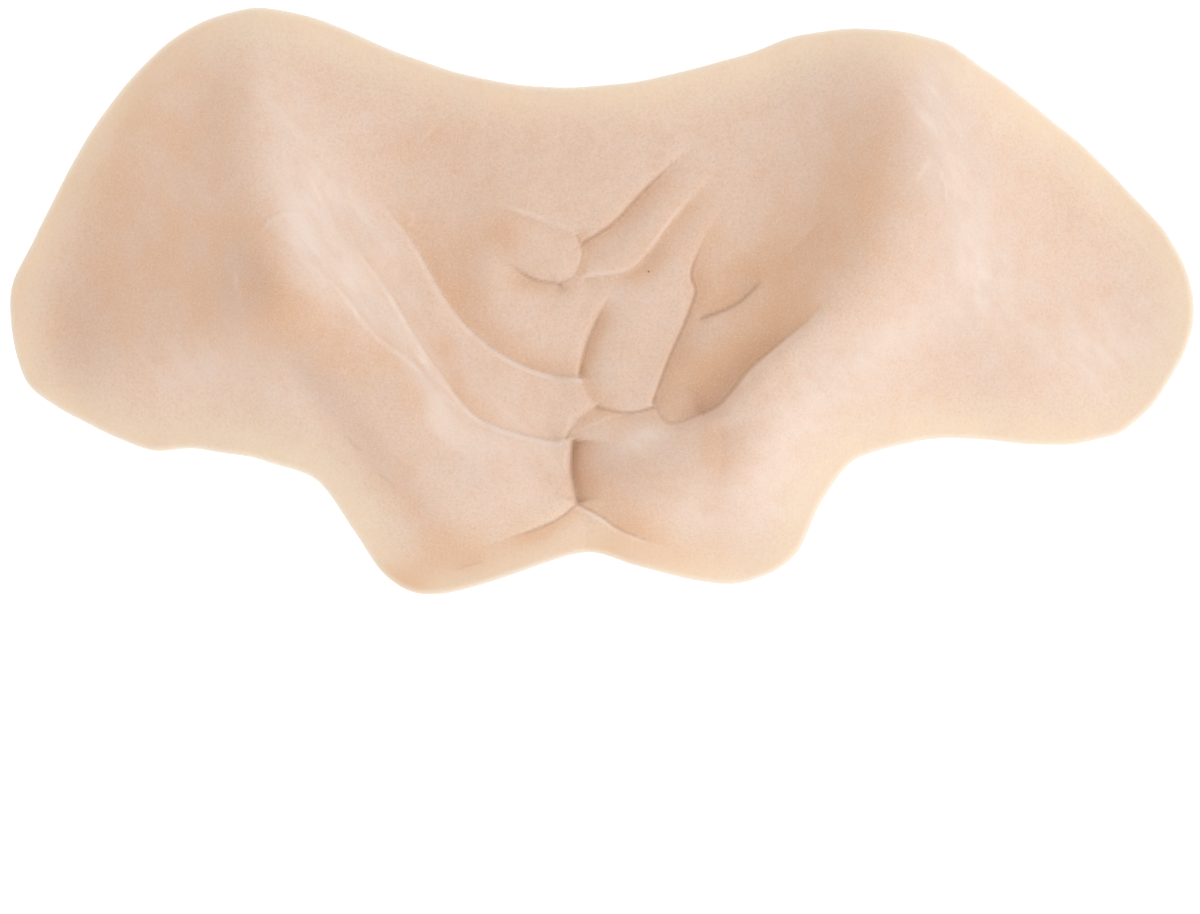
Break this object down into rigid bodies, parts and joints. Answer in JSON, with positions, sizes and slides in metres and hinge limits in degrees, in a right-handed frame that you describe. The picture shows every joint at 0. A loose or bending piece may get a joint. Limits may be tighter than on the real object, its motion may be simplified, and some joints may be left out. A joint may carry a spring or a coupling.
{
  "type": "forehead prosthetic",
  "caption": "Soft cast foam-rubber brow piece with heavy frowning ridges, wrinkles and a thin feather edge, worn glued over the forehead.",
  "frame": {"origin": "on the surface that the piece lies on, at the middle of its outline", "axes": "+X towards the wearer's left temple, +Y towards the hairline, +Z outwards from the face"},
  "size_m": [0.17, 0.0836, 0.0297],
  "materials": {
    "foam_rubber": "matte peach skin tone, paler and yellower at the thin edge"
  },
  "bodies": {
    "root": {"forehead_piece": "foam_rubber"}
  },
  "joints": []
}
